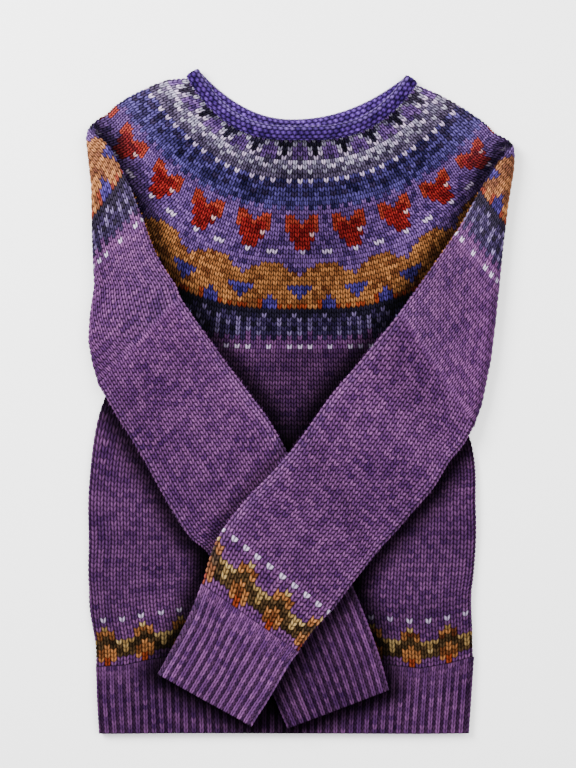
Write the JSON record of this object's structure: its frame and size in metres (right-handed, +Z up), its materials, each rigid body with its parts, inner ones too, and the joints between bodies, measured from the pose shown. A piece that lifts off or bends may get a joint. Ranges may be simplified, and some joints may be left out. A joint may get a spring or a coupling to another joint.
{
  "type": "fair isle jumper",
  "caption": "Chunky wool jumper with a patterned round yoke and patterned bands, laid flat on its back with both sleeves folded over the front and crossed.",
  "frame": {"origin": "middle of the underside, where the back of the jumper rests on the surface", "axes": "+Z up from the surface, out of the front of the jumper; +Y from the hem towards the neck; +X to the right as seen from above"},
  "size_m": [0.4263, 0.6661, 0.0308],
  "materials": {
    "body": "heathered dusty purple wool in stocking stitch",
    "hem_rib": "heathered purple wool in rib",
    "yoke_front": "stranded wool pattern in violet, navy, rust, gold and white",
    "yoke_back": "stranded wool pattern in violet, navy, rust, gold and white",
    "neckband": "blue violet wool in purl stitches, rolled",
    "sleeve_left": "heathered dusty purple wool in stocking stitch",
    "cuff_left": "heathered purple wool in rib",
    "sleeve_right": "heathered dusty purple wool in stocking stitch",
    "cuff_right": "heathered purple wool in rib"
  },
  "bodies": {
    "root": {"body": "body", "hem_rib": "hem_rib", "yoke_front": "yoke_front", "yoke_back": "yoke_back", "neckband": "neckband", "sleeve_left": "sleeve_left", "cuff_left": "cuff_left", "sleeve_right": "sleeve_right", "cuff_right": "cuff_right"}
  },
  "joints": []
}
